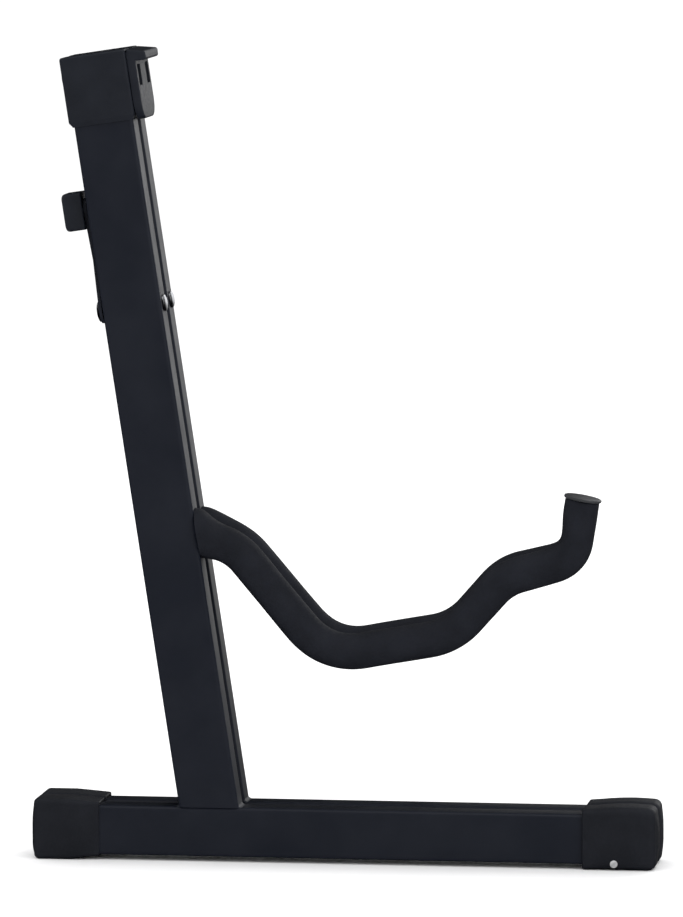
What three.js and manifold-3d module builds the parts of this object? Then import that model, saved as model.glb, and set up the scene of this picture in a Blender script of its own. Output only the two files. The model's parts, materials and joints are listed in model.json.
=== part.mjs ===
// Folding A-frame guitar stand, folded flat. Millimetres, +Z up, +X is the side the guitar stands on,
// and the two half frames are mirror images in the plane y = 0, but for a small difference between the
// bends of their arms. The origin is on the floor, under the middle of the stand.
import * as THREE from 'three';
import { mergeVertices } from 'three/addons/utils/BufferGeometryUtils.js';
import Module from 'manifold-3d';

const wasm = await Module();
wasm.setup();

// ---------------------------------------------------------------- driving dimensions
const GAP = 0.3; // between pieces that touch in the real stand
const SIDES = { left: -1, right: 1 };
const HALF_SPACING = 9.7; // each half frame's middle plane, from y = 0
const WALL = 1.5; // steel tube wall
const TUBE_CORNER = 2; // outer corner radius of the rectangular tubes
const REACH = 60; // how far a cutter runs past what it cuts
const OVERLAP = 0.2; // how far a shank runs into its own head

const FOOT = { length: 305, width: 15, height: 25, bottom: 2.5 };
const FOOT_CAP = {
  rearLength: 36, // along the bar
  frontLength: 37.7,
  width: 19,
  rearTop: 30.5,
  frontTop: 31.6,
  shoulder: 29.7, // height at the mouth, where the bar goes in
  overhang: 5.4, // past the end of the bar
  corner: 3.4,
  rim: 1.2, // rounding of the two sides' edges
  chamfer: 0.8, // under the mouth
};

const LEAN = THREE.MathUtils.degToRad(8.4); // the uprights lean back
const LEAN_FOOT_X = -63.4; // where the uprights' axis would meet the floor
const UPRIGHT = { depth: 30, width: 15, top: 386 };

const ARM = { tube: 12, wall: 1.2, sleeve: 18, steps: 30, facets: 5 };
// Corners of the left arm's centre line as (x, z), each with its bend radius. The right arm's corner
// lies off by (dx, dz): it dips a little less, and its tip stands a little lower and further back.
const ARM_ROUTE = [
  { x: -80, z: 162.6, dx: 0, dz: 0 },
  { x: -55.2, z: 159.2, bend: 27, dx: 0, dz: 0.4 },
  { x: -8.7, z: 103.5, bend: 34, dx: 0, dz: 1.3 },
  { x: 54.5, z: 114.9, bend: 34, dx: 0, dz: 1.3 },
  { x: 80.1, z: 143.4, bend: 30, dx: -0.6, dz: 1.2 },
  { x: 114.4, z: 153.8, bend: 16, dx: -2.2, dz: -1.2 },
  { x: 119.8, z: 183.6, dx: -2.2, dz: -2.2 },
];
const PLUG = { flange: 18.6, thickness: 1.4, spigot: 9, spigotLength: 9, facets: 16 };

const HINGE_HEIGHT = 397; // of the pin, along the uprights
const OPEN_ANGLE = THREE.MathUtils.degToRad(22.6); // slope that lets each half swing 21 degrees
const PIN = { radius: 3, bore: 3.2, head: 5.5, headDepth: 2, headGap: 1.4, blindEnd: 1.4 };
const WASHER = { radius: 6, thickness: 0.8 };
const KNUCKLE = { radius: 6.5, clearance: 0.4, facets: 24, edges: [-17, -8.6, -0.25, 8.1, 16.5] };
const TOP_CAP = {
  rear: -17,
  front: 16.5,
  bottom: 373,
  top: 408,
  inner: 0.2, // of the face that meets the other cap, from y = 0
  outer: 19.2,
  chamfer: 2.5,
  rim: 0.8,
};
const COVER = { back: 16.8, front: 20.8, width: 36, bottom: 372.3, top: 407.6, corner: 9, skin: 1 };
const LIP = { bottom: 401.6, front: 26.4, frontBottom: 401.2, frontTop: 405.9, rim: 1 }; // on the cover's top
const WINDOW = { inner: 6.8, outer: 14.6, bottom: 389, top: 399.6 };

const RIVET_HEIGHT = 280.4; // of the stay rivets, along the uprights
const RIVET = { radius: 2.5, bore: 2.8, frontHead: 4.2, rearHead: 5.2, headDepth: 1.8 };
const KNUCKLE_HEIGHT = 331.1; // of the stay's middle pivot, folded
const LINK = { thickness: 1.6, halfWidth: 6, eyeBore: 2.8 };
const LINK_BACK = { left: -16.9, right: -18.8 }; // rear face of each link: the right one passes behind
const SPACER_RADIUS = 4.8; // the sleeve that sets the right link behind the left one
const GRIP = { width: 16, height: 19, back: -29, corner: 2.4, rim: 1, pocket: 5, rivetDepth: 4.6 };

// ---------------------------------------------------------------- materials
const paint = new THREE.MeshStandardMaterial({ color: 0x1a1b1e, roughness: 0.45, metalness: 0.3 });
const rubber = new THREE.MeshStandardMaterial({ color: 0x1d1e21, roughness: 0.7, metalness: 0 });
const foam = new THREE.MeshStandardMaterial({ color: 0x17181b, roughness: 0.9, metalness: 0 });
const plastic = new THREE.MeshStandardMaterial({ color: 0x1b1c1f, roughness: 0.5, metalness: 0 });
const zinc = new THREE.MeshStandardMaterial({ color: 0xa8aaac, roughness: 0.35, metalness: 0.9 });

// ---------------------------------------------------------------- solids and booleans
function solidOf(geometry) {
  const bare = new THREE.BufferGeometry();
  bare.setAttribute('position', geometry.getAttribute('position'));
  if (geometry.index) bare.setIndex(geometry.index);
  const merged = mergeVertices(bare, 1e-4);
  const mesh = new wasm.Mesh({
    numProp: 3,
    vertProperties: new Float32Array(merged.getAttribute('position').array),
    triVerts: new Uint32Array(merged.index.array),
  });
  return new wasm.Manifold(mesh);
}

function geometryOf(solid) {
  const { vertProperties, triVerts } = solid.getMesh();
  const geometry = new THREE.BufferGeometry();
  geometry.setAttribute('position', new THREE.BufferAttribute(vertProperties, 3));
  geometry.setIndex(new THREE.BufferAttribute(triVerts, 1));
  geometry.computeVertexNormals();
  return geometry;
}

function cut(geometry, tools) {
  return geometryOf(tools.reduce((rest, tool) => rest.subtract(solidOf(tool)), solidOf(geometry)));
}

function box(low, high) {
  const size = high.map((value, axis) => value - low[axis]);
  const middle = high.map((value, axis) => (value + low[axis]) / 2);
  return new THREE.BoxGeometry(...size).translate(...middle);
}

// A cylinder along X from x0 to x1, at (y, z).
function rod(radius, x0, x1, y, z, segments = 16) {
  return new THREE.CylinderGeometry(radius, radius, x1 - x0, segments)
    .rotateZ(Math.PI / 2)
    .translate((x0 + x1) / 2, y, z);
}

// A domed head: a turned profile on the X axis, flat at x = 0 and rising towards direction * depth.
function domedHead(radius, depth, direction) {
  const profile = [new THREE.Vector2(0, 0), new THREE.Vector2(radius, 0)];
  const rings = 3;
  for (let ring = 1; ring < rings; ring += 1) {
    const angle = (ring / rings) * (Math.PI / 2);
    profile.push(new THREE.Vector2(radius * Math.cos(angle), depth * Math.sin(angle)));
  }
  profile.push(new THREE.Vector2(0, depth));
  return new THREE.LatheGeometry(profile, 14).rotateZ(direction > 0 ? -Math.PI / 2 : Math.PI / 2);
}

function roundedRectangle(width, height, radius) {
  const [x, y] = [width / 2, height / 2];
  const shape = new THREE.Shape();
  shape.moveTo(-x + radius, -y);
  shape.lineTo(x - radius, -y).absarc(x - radius, -y + radius, radius, -Math.PI / 2, 0);
  shape.lineTo(x, y - radius).absarc(x - radius, y - radius, radius, 0, Math.PI / 2);
  shape.lineTo(-x + radius, y).absarc(-x + radius, y - radius, radius, Math.PI / 2, Math.PI);
  shape.lineTo(-x, -y + radius).absarc(-x + radius, -y + radius, radius, Math.PI, Math.PI * 1.5);
  return shape;
}

function extrude(shape, depth, options = {}) {
  return new THREE.ExtrudeGeometry(shape, { depth, bevelEnabled: false, curveSegments: 4, ...options });
}

// Extrusion options for rims rounded inwards, so that the outline keeps its size.
function roundedRims(rim) {
  return { bevelEnabled: true, bevelThickness: rim, bevelSize: rim, bevelOffset: -rim, bevelSegments: 2 };
}

// An outline drawn as (x, z), extruded across y and centred on y = 0, with its two rims rounded.
function sideOutline(shape, width, rim) {
  return extrude(shape, width - 2 * rim, roundedRims(rim))
    .rotateX(Math.PI / 2)
    .translate(0, width / 2 - rim, 0);
}

// A rectangular tube along Z: its section is depth by width.
function rectangularTube(depth, width, length) {
  const section = roundedRectangle(depth, width, TUBE_CORNER);
  section.holes.push(roundedRectangle(depth - 2 * WALL, width - 2 * WALL, TUBE_CORNER - WALL / 2));
  return extrude(section, length, { curveSegments: 3 });
}

// ---------------------------------------------------------------- frame of the uprights
// Inside the leaning group x runs forwards across the uprights, and z up along their axis.
const leanMatrix = new THREE.Matrix4()
  .makeRotationY(-LEAN)
  .setPosition(LEAN_FOOT_X, 0, 0);
const toLean = leanMatrix.clone().invert();

const stand = new THREE.Group();
const leaning = new THREE.Group();
leaning.applyMatrix4(leanMatrix);
stand.add(leaning);

function add(parent, name, geometry, material) {
  const mesh = new THREE.Mesh(geometry, material);
  mesh.name = name;
  parent.add(mesh);
}

// ---------------------------------------------------------------- the arms' centre lines
function armCorners(side) {
  const share = side > 0 ? 1 : 0;
  return ARM_ROUTE.map(({ x, z, dx, dz }) => new THREE.Vector3(x + share * dx, 0, z + share * dz));
}

function towards(from, to, distance) {
  return from.clone().addScaledVector(to.clone().sub(from).normalize(), distance);
}

// Straight runs joined by bends. The tube and its sleeve share this path and its facets.
function armPath(side) {
  const corners = armCorners(side);
  const last = corners.length - 1;
  const path = new THREE.CurvePath();
  let from = corners[0];
  for (let index = 1; index < last; index += 1) {
    const [before, corner, after] = corners.slice(index - 1, index + 2);
    const turn = corner.clone().sub(before).angleTo(after.clone().sub(corner));
    const tangent = ARM_ROUTE[index].bend * Math.tan(turn / 2);
    const [bendStart, bendEnd] = [towards(corner, before, tangent), towards(corner, after, tangent)];
    path.add(new THREE.LineCurve3(from, bendStart));
    path.add(new THREE.QuadraticBezierCurve3(bendStart, corner, bendEnd));
    from = bendEnd;
  }
  path.add(new THREE.LineCurve3(from, corners[last]));
  return path;
}

function pipe(outerRadius, innerRadius, path) {
  const section = new THREE.Shape().absarc(0, 0, outerRadius, 0, Math.PI * 2);
  section.holes.push(new THREE.Path().absarc(0, 0, innerRadius, 0, Math.PI * 2));
  const sweep = { extrudePath: path, steps: ARM.steps, curveSegments: ARM.facets };
  return new THREE.ExtrudeGeometry(section, sweep);
}

// Places a solid turned about +Z at a point, with its axis along a direction.
function aim(geometry, point, direction) {
  const turn = new THREE.Quaternion().setFromUnitVectors(new THREE.Vector3(0, 0, 1), direction);
  return geometry.applyQuaternion(turn).translate(point.x, point.y, point.z);
}

// ---------------------------------------------------------------- pieces of one half
function upright(side) {
  const y = side * HALF_SPACING;
  const tube = rectangularTube(UPRIGHT.depth, UPRIGHT.width, UPRIGHT.top).translate(0, y, 0);
  const footTop = FOOT.bottom + FOOT.height + GAP;
  const belowFoot = box(
    [-FOOT.length, -REACH, -REACH],
    [FOOT.length, REACH, footTop],
  ).applyMatrix4(toLean);
  const [armStart, firstCorner] = armCorners(side);
  const startDirection = firstCorner.clone().sub(armStart).normalize();
  const holeRadius = ARM.tube / 2 + GAP;
  const armHole = new THREE.CylinderGeometry(holeRadius, holeRadius, REACH, 20).rotateX(Math.PI / 2);
  aim(armHole, armStart, startDirection).translate(0, y, 0).applyMatrix4(toLean);
  const rivetHole = rod(RIVET.bore, -UPRIGHT.depth, UPRIGHT.depth, y, RIVET_HEIGHT);
  // The arm hole opens only the front wall: this box keeps the cutter off the rear one.
  const rearHalf = box([-REACH, -REACH, 0], [-4, REACH, UPRIGHT.top]);
  return cut(tube, [belowFoot, cut(armHole, [rearHalf]), rivetHole]);
}

function footBar(y) {
  return rectangularTube(FOOT.height, FOOT.width, FOOT.length)
    .rotateY(Math.PI / 2)
    .translate(-FOOT.length / 2, y, FOOT.bottom + FOOT.height / 2);
}

// end is -1 for the rear cap and 1 for the front one. The outline's end bulges, and its corners are round.
function footCap(y, end) {
  const top = end < 0 ? FOOT_CAP.rearTop : FOOT_CAP.frontTop;
  const length = end < 0 ? FOOT_CAP.rearLength : FOOT_CAP.frontLength;
  const { corner, chamfer } = FOOT_CAP;
  const tip = FOOT.length / 2 + FOOT_CAP.overhang;
  const mouth = tip - length;
  const outline = new THREE.Shape();
  outline.moveTo(mouth, chamfer);
  outline.lineTo(mouth + chamfer, 0);
  outline.lineTo(tip - corner - 1, 0);
  outline.quadraticCurveTo(tip - 1, 0, tip - 0.8, corner);
  outline.quadraticCurveTo(tip + 1, top / 2, tip - 1.6, top - corner - 0.6);
  outline.quadraticCurveTo(tip - 2, top - 0.4, tip - corner - 2.6, top - 0.2);
  outline.quadraticCurveTo(tip - length / 2, top + 0.2, mouth, FOOT_CAP.shoulder);
  const barSpace = box(
    [mouth - REACH, -FOOT.width / 2 - GAP, FOOT.bottom - GAP],
    [FOOT.length / 2 + GAP, FOOT.width / 2 + GAP, FOOT.bottom + FOOT.height + GAP],
  );
  const cap = cut(sideOutline(outline, FOOT_CAP.width, FOOT_CAP.rim), [barSpace]);
  return end < 0 ? cap.rotateZ(Math.PI).translate(0, y, 0) : cap.translate(0, y, 0);
}

function armTube(side) {
  return pipe(ARM.tube / 2, ARM.tube / 2 - ARM.wall, armPath(side)).translate(0, side * HALF_SPACING, 0);
}

function armSleeve(side) {
  const face = UPRIGHT.depth / 2 + GAP;
  const uprightSpace = box([-REACH, -REACH, 0], [face, REACH, UPRIGHT.top]).applyMatrix4(leanMatrix);
  const sleeve = pipe(ARM.sleeve / 2, ARM.tube / 2 + GAP, armPath(side));
  return cut(sleeve, [uprightSpace]).translate(0, side * HALF_SPACING, 0);
}

function armPlug(side) {
  const [flange, spigot] = [PLUG.flange / 2, PLUG.spigot / 2];
  const [inside, outside] = [-PLUG.spigotLength, GAP + PLUG.thickness];
  // From the spigot's inner end, round the flange's edge, to the middle of its slightly domed face.
  const profile = [
    [0, inside],
    [spigot - 0.6, inside],
    [spigot, inside + 1],
    [spigot, GAP],
    [flange, GAP],
    [flange + 0.1, GAP + 0.5],
    [flange - 0.4, outside - 0.3],
    [flange - 2, outside],
    [0, outside + 0.2],
  ].map(([x, z]) => new THREE.Vector2(x, z));
  const plug = new THREE.LatheGeometry(profile, PLUG.facets).rotateX(Math.PI / 2);
  const [lastCorner, armEnd] = armCorners(side).slice(-2);
  const endDirection = armEnd.clone().sub(lastCorner).normalize();
  return aim(plug, armEnd, endDirection).translate(0, side * HALF_SPACING, 0);
}

// Cap on the upright's top end, with this half's two hinge knuckles. Below the pin its inner face meets
// the other cap when folded, and above the pin a sloping face meets the other one when open.
function topCap(side) {
  const { rear, front, bottom, top, inner, outer, chamfer, rim } = TOP_CAP;
  const outline = new THREE.Shape();
  outline.moveTo(rear + chamfer, bottom);
  outline.lineTo(front, bottom);
  outline.lineTo(front, top);
  outline.lineTo(rear + chamfer, top);
  outline.quadraticCurveTo(rear, top, rear, top - chamfer);
  outline.lineTo(rear, bottom + chamfer);
  const width = outer - inner;
  const shell = sideOutline(outline, width, rim).translate(0, side * (inner + width / 2), 0);

  const [own, other] = side < 0 ? [[0, 2], [1, 3]] : [[1, 3], [0, 2]];
  const barrel = (index, radius, margin) => rod(
    radius,
    KNUCKLE.edges[index] - margin,
    KNUCKLE.edges[index + 1] + margin,
    0,
    HINGE_HEIGHT,
    KNUCKLE.facets,
  );
  const y = side * HALF_SPACING;
  const tubeSpace = box(
    [-UPRIGHT.depth / 2 - GAP, y - UPRIGHT.width / 2 - GAP, bottom - REACH],
    [UPRIGHT.depth / 2 + GAP, y + UPRIGHT.width / 2 + GAP, UPRIGHT.top + GAP],
  );
  // The opening wedge, drawn as (y, height above the pin) and extruded from rear to front.
  const slope = Math.tan(OPEN_ANGLE);
  const wedge = new THREE.Shape();
  wedge.moveTo(-side * REACH, 0);
  wedge.lineTo(side * inner, 0);
  wedge.lineTo(side * (inner + REACH * slope), REACH);
  wedge.lineTo(-side * REACH, REACH);
  const wedgeSolid = extrude(wedge, 2 * REACH)
    .rotateX(Math.PI / 2)
    .rotateZ(Math.PI / 2)
    .translate(-REACH, 0, HINGE_HEIGHT);

  let cap = solidOf(shell).subtract(solidOf(tubeSpace)).subtract(solidOf(wedgeSolid));
  for (const index of other) {
    cap = cap.subtract(solidOf(barrel(index, KNUCKLE.radius + KNUCKLE.clearance, KNUCKLE.clearance / 2)));
  }
  for (const index of own) cap = cap.add(solidOf(barrel(index, KNUCKLE.radius, -KNUCKLE.clearance / 2)));
  return geometryOf(cap.subtract(solidOf(rod(PIN.bore, -REACH, REACH, 0, HINGE_HEIGHT))));
}

// Headed rivet from the upright's front face to behind its stay link.
function stayRivet(y, linkBack) {
  const front = UPRIGHT.depth / 2 + GAP;
  const back = linkBack - GAP;
  const shank = solidOf(rod(RIVET.radius, back - OVERLAP, front + OVERLAP, y, RIVET_HEIGHT));
  const frontHead = domedHead(RIVET.frontHead, RIVET.headDepth, 1).translate(front, y, RIVET_HEIGHT);
  const rearHead = domedHead(RIVET.rearHead, RIVET.headDepth, -1).translate(back, y, RIVET_HEIGHT);
  return geometryOf(shank.add(solidOf(frontHead)).add(solidOf(rearHead)));
}

function ring(outerRadius, boreRadius, x0, x1, y, z) {
  return cut(rod(outerRadius, x0, x1, y, z), [rod(boreRadius, x0 - REACH, x1 + REACH, y, z)]);
}

// Flat bar between the stay rivet and the middle pivot, with round ends.
function stayLink(side) {
  const back = side < 0 ? LINK_BACK.left : LINK_BACK.right;
  const lowEnd = new THREE.Vector2(side * HALF_SPACING, RIVET_HEIGHT);
  const highEnd = new THREE.Vector2(0, KNUCKLE_HEIGHT);
  const length = highEnd.distanceTo(lowEnd);
  const lean = Math.atan2(lowEnd.x - highEnd.x, highEnd.y - lowEnd.y);
  const bar = new THREE.Shape();
  bar.absarc(0, 0, LINK.halfWidth, Math.PI, Math.PI * 2);
  bar.absarc(0, length, LINK.halfWidth, 0, Math.PI);
  for (const z of [0, length]) {
    bar.holes.push(new THREE.Path().absarc(0, z, LINK.eyeBore, 0, Math.PI * 2));
  }
  // Drawn upright in (y, z) with its low eye at the origin, then tilted towards the middle pivot.
  return extrude(bar, LINK.thickness, { curveSegments: 8 })
    .rotateX(Math.PI / 2)
    .rotateZ(Math.PI / 2)
    .rotateX(lean)
    .translate(back, lowEnd.x, lowEnd.y);
}

// ---------------------------------------------------------------- shared pieces
function hingePin() {
  const headFace = TOP_CAP.rear - PIN.headGap;
  const shank = solidOf(rod(PIN.radius, headFace - OVERLAP, COVER.front - PIN.blindEnd, 0, HINGE_HEIGHT));
  const head = domedHead(PIN.head, PIN.headDepth, -1).translate(headFace, 0, HINGE_HEIGHT);
  return geometryOf(shank.add(solidOf(head)));
}

function hingeCover() {
  const { back, front, width, bottom, top, corner, skin } = COVER;
  const half = width / 2;
  // Outlines here are (y, z), extruded along x.
  const plate = new THREE.Shape();
  plate.moveTo(-half + corner, bottom);
  plate.lineTo(half - corner, bottom);
  plate.absarc(half - corner, bottom + corner, corner, -Math.PI / 2, 0);
  plate.lineTo(half, top);
  plate.lineTo(-half, top);
  plate.lineTo(-half, bottom + corner);
  plate.absarc(-half + corner, bottom + corner, corner, Math.PI, Math.PI * 1.5);
  const acrossY = (geometry, x) => geometry.rotateX(Math.PI / 2).rotateZ(Math.PI / 2).translate(x, 0, 0);
  // The lip's outline is (x, z). It droops a little towards its front.
  const lip = new THREE.Shape();
  lip.moveTo(back, LIP.bottom);
  lip.lineTo(LIP.front - LIP.rim, LIP.frontBottom);
  lip.quadraticCurveTo(LIP.front, LIP.frontBottom, LIP.front, LIP.frontBottom + LIP.rim);
  lip.lineTo(LIP.front, LIP.frontTop - LIP.rim);
  lip.quadraticCurveTo(LIP.front, LIP.frontTop, LIP.front - LIP.rim, LIP.frontTop);
  lip.lineTo(back, top);
  const lipSolid = solidOf(extrude(lip, width).rotateX(Math.PI / 2).translate(0, half, 0));
  let cover = solidOf(acrossY(extrude(plate, front - back), back)).add(lipSolid);
  for (const side of [-1, 1]) {
    const edges = [side * WINDOW.inner, side * WINDOW.outer].sort((a, b) => a - b);
    const opening = box([back - REACH, edges[0], WINDOW.bottom], [front + REACH, edges[1], WINDOW.top]);
    cover = cover.subtract(solidOf(opening));
  }
  const socket = rod(PIN.bore, back - REACH, front - skin, 0, HINGE_HEIGHT);
  return geometryOf(cover.subtract(solidOf(socket)));
}

function stayGrip() {
  const front = LINK_BACK.right - GAP;
  const depth = front - GRIP.back;
  const outline = roundedRectangle(GRIP.width, GRIP.height, GRIP.corner);
  const block = extrude(outline, depth - 2 * GRIP.rim, roundedRims(GRIP.rim))
    .rotateX(Math.PI / 2)
    .rotateZ(Math.PI / 2)
    .translate(GRIP.back + GRIP.rim, 0, KNUCKLE_HEIGHT);
  return cut(block, [rod(LINK.eyeBore, front - GRIP.pocket, front + REACH, 0, KNUCKLE_HEIGHT)]);
}

// The rivet that carries the grip on the right link. It stops short of the left link's open eye.
function knuckleRivet() {
  const rear = LINK_BACK.right - GAP - GRIP.rivetDepth;
  return rod(RIVET.radius, rear, LINK_BACK.right + LINK.thickness, 0, KNUCKLE_HEIGHT);
}

// ---------------------------------------------------------------- assembly
const washerSpan = [TOP_CAP.rear - GAP - WASHER.thickness, TOP_CAP.rear - GAP];
const spacerSpan = [LINK_BACK.left, LINK_BACK.left + LINK.thickness];
const spacer = ring(SPACER_RADIUS, RIVET.bore, ...spacerSpan, HALF_SPACING, RIVET_HEIGHT);
add(leaning, 'hinge_pin', hingePin(), zinc);
add(leaning, 'hinge_washer', ring(WASHER.radius, PIN.bore, ...washerSpan, 0, HINGE_HEIGHT), zinc);
add(leaning, 'hinge_cover', hingeCover(), plastic);
for (const [name, side] of Object.entries(SIDES)) {
  const y = side * HALF_SPACING;
  const linkBack = LINK_BACK[name];
  add(leaning, `${name}_upright`, upright(side), paint);
  add(leaning, `${name}_top_cap`, topCap(side), plastic);
  add(stand, `${name}_foot_bar`, footBar(y), paint);
  add(stand, `${name}_foot_cap_rear`, footCap(y, -1), rubber);
  add(stand, `${name}_foot_cap_front`, footCap(y, 1), rubber);
  add(stand, `${name}_arm_tube`, armTube(side), paint);
  add(stand, `${name}_arm_sleeve`, armSleeve(side), foam);
  add(stand, `${name}_arm_plug`, armPlug(side), plastic);
  add(leaning, `${name}_stay_rivet`, stayRivet(y, linkBack), zinc);
  add(leaning, `${name}_stay_link`, stayLink(side), paint);
}
add(leaning, 'right_stay_spacer', spacer, zinc);
add(leaning, 'stay_knuckle_rivet', knuckleRivet(), zinc);
add(leaning, 'stay_grip', stayGrip(), plastic);

export default stand;
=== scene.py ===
"""The looks of the folding guitar stand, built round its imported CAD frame.

Shapes are drawn in millimetres, either in the stand's own frame or in the leaning frame of the uprights:
there x runs forwards across the uprights, y to the right half, and z up along their axis.
"""
import json
import math

import bmesh
import bpy
from mathutils import Matrix, Vector, noise


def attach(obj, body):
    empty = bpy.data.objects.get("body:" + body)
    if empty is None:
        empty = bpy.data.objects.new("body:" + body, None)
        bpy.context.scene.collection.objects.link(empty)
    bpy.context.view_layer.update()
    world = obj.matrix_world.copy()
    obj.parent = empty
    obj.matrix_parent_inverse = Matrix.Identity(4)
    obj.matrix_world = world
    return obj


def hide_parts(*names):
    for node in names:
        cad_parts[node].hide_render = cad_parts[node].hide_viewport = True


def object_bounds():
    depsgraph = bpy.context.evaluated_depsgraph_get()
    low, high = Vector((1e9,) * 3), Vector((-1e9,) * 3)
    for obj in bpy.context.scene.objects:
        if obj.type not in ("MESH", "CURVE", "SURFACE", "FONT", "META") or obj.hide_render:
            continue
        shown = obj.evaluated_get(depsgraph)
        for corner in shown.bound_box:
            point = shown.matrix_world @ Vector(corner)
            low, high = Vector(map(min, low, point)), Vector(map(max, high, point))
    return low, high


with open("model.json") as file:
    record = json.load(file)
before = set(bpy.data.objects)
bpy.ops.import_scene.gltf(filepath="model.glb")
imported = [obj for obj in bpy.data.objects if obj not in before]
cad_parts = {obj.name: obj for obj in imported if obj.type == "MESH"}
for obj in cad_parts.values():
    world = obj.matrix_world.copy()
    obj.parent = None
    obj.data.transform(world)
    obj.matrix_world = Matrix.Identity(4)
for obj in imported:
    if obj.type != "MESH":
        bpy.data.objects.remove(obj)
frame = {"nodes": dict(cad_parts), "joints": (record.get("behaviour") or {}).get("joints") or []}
cad_low, cad_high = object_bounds()

# ---------------------------------------------------------------- driving dimensions, mm
SIDES = {"left": -1, "right": 1}
HALF_SPACING = 9.7  # of each half frame's middle plane, from y = 0
GAP = 0.15  # between a piece and one that it fits round or rests against
SEAT = 0.1  # between a head, flange or washer and its seat
CUT = 40.0  # how far a cutter runs past what it cuts
FOOT = {"half_length": 152.5, "width": 15.0, "height": 25.0, "bottom": 2.5, "corner": 2.2}
UPRIGHT = {"depth": 30.0, "width": 15.0, "top": 385.0, "corner": 2.2}
WELD = {"size": 2.3, "ripple": 0.25, "hollow": 0.78, "overlap": 0.5, "short": 0.6}
FOOT_CAP = {
    # The rear (-1) and front (1) shoes. A mouth value changes to its full value over the run after it.
    -1: {
        "length": 35.2, "tip": 158.2, "round_end": 2.4, "bulge": 2.0, "lip": 0.45,
        "crest": -5.5,  # height of the bulge's peak, from the middle of the end
        "mouth_half": 8.1, "half": 9.5, "half_run": 11,
        "mouth_corner": 1.4, "corner": 2.8, "corner_run": 12,
    },
    1: {
        "length": 37.7, "tip": 157.9, "round_end": 4.0, "bulge": 1.2, "lip": 0.8,
        "crest": 0.0,
        "mouth_half": 8.9, "half": 9.5, "half_run": 12,
        "mouth_corner": 2.6, "corner": 4.2, "corner_run": 8,
    },
}
REAR_FLARE = {"proud": 1.7, "rise": 1.4, "drop": 0.5, "run": 17}  # of the rear shoe, off the foot bar
FRONT_CROWN = {"proud": 2.5, "crown": 1.4, "rise": 0.3, "past": 4}
SLEEVE = {"radius": 9.0, "bore": 6.2, "edge": 0.9, "sides": 56}
SLEEVE_ROOT = {-1: (6.2, 7.5), 1: (4.7, 11.0)}  # upward bulge at each upright, and its reach
SLEEVE_SQUEEZE = {"depth": 1.7, "from_end": 19, "reach": 9}  # inside the last bend
SLEEVE_END = {"depth": 0.45, "reach": 9}  # drawn in under the plug
SLEEVE_UNEVEN = {"size": 0.055, "depth": 0.16}
ARM_ROUTE = (
    # corners of the left arm's centre line as x, z and bend radius, and how far off the right arm's are
    (-80.0, 162.6, 0.0, (0.0, 0.0)),
    (-55.2, 159.2, 27.0, (0.0, 0.4)),
    (-8.7, 103.5, 34.0, (0.0, 1.3)),
    (54.5, 114.9, 34.0, (0.0, 1.3)),
    (80.1, 143.4, 30.0, (-0.6, 1.2)),
    (114.4, 153.8, 16.0, (-2.2, -1.2)),
    (119.8, 183.6, 0.0, (-2.2, -2.2)),
)
PLUG = {"flange": 9.4, "thickness": 1.4, "rim": 0.5, "dome": 0.5, "spigot": 4.5, "length": 9.0, "bevel": 0.8}
HINGE_HEIGHT = 397.0
PIN = {"radius": 3.0, "bore": 3.2, "head": 5.5, "head_depth": 2.0, "head_gap": 1.3, "blind_end": 1.4}
WASHER = {"radius": 6.0, "front": 0.1, "rear": 1.2}  # its faces, behind the top caps
KNUCKLE_RADIUS, KNUCKLE_CLEARANCE = 6.5, 0.4
KNUCKLE_EDGES = (-17.0, -8.6, -0.25, 8.1, 16.5)
TOP_CAP = {
    "rear": -17.0, "front": 16.5, "bottom": 373.0, "top": 408.0, "inner": 0.2, "outer": 19.2,
    "corner": 1.5, "chamfer": 2.3, "crown": 1.4, "slope": 22.6,
}
COVER = {
    "back": 16.8, "front": 20.8, "half_width": 18.0, "bottom": 372.3, "top": 407.6, "corner": 9.0,
    "rim": 0.9, "skin": 1.0, "under_lip": 1.5,
}
LIP = {"bottom": 401.6, "front": 26.4, "front_bottom": 401.2, "front_top": 405.9, "rim": 1.1}
WINDOW = {"inner": 6.8, "outer": 14.6, "bottom": 389.0, "top": 399.6}
RIVET_HEIGHT, KNUCKLE_HEIGHT = 280.4, 331.1
RIVET = {"radius": 2.5, "front_head": 4.2, "rear_head": 5.2, "depth": 1.8, "in_grip": 4.8}
LINK = {"thickness": 1.6, "half_width": 6.0, "bore": 2.65}
LINK_BACK = {"left": -16.9, "right": -18.8}
SPACER_RADIUS = 4.8
GRIP = {
    "width": 16.0, "height": 19.0, "back": -29.0, "corner": 2.4, "rim": 2.2, "front_rim": 0.4,
    "front_gap": 0.02, "pocket": 5.0,
}
FOOT_SCREW = {"radius": 1.9, "x": 136.2, "z": 3.4, "rise": 0.7, "sunk": 0.4, "slot": 0.5, "turn": 35}

# ---------------------------------------------------------------- frames
MILLIMETRE = 0.001
METRES = Matrix.Scale(MILLIMETRE, 4)
fold = next(joint for joint in frame["joints"] if joint["name"] == "right_fold")
ACROSS = Vector(fold["axis"]).normalized()
ALONG = Vector((-ACROSS.z, 0, ACROSS.x))
LEAN_ORIGIN = Vector(fold["pos_m"]) - ALONG * HINGE_HEIGHT * MILLIMETRE
LEANING = Matrix((
    (ACROSS.x, 0, ALONG.x, LEAN_ORIGIN.x),
    (0, 1, 0, 0),
    (ACROSS.z, 0, ALONG.z, LEAN_ORIGIN.z),
    (0, 0, 0, 1),
)) @ METRES
TO_LEANING = LEANING.inverted() @ METRES


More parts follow.
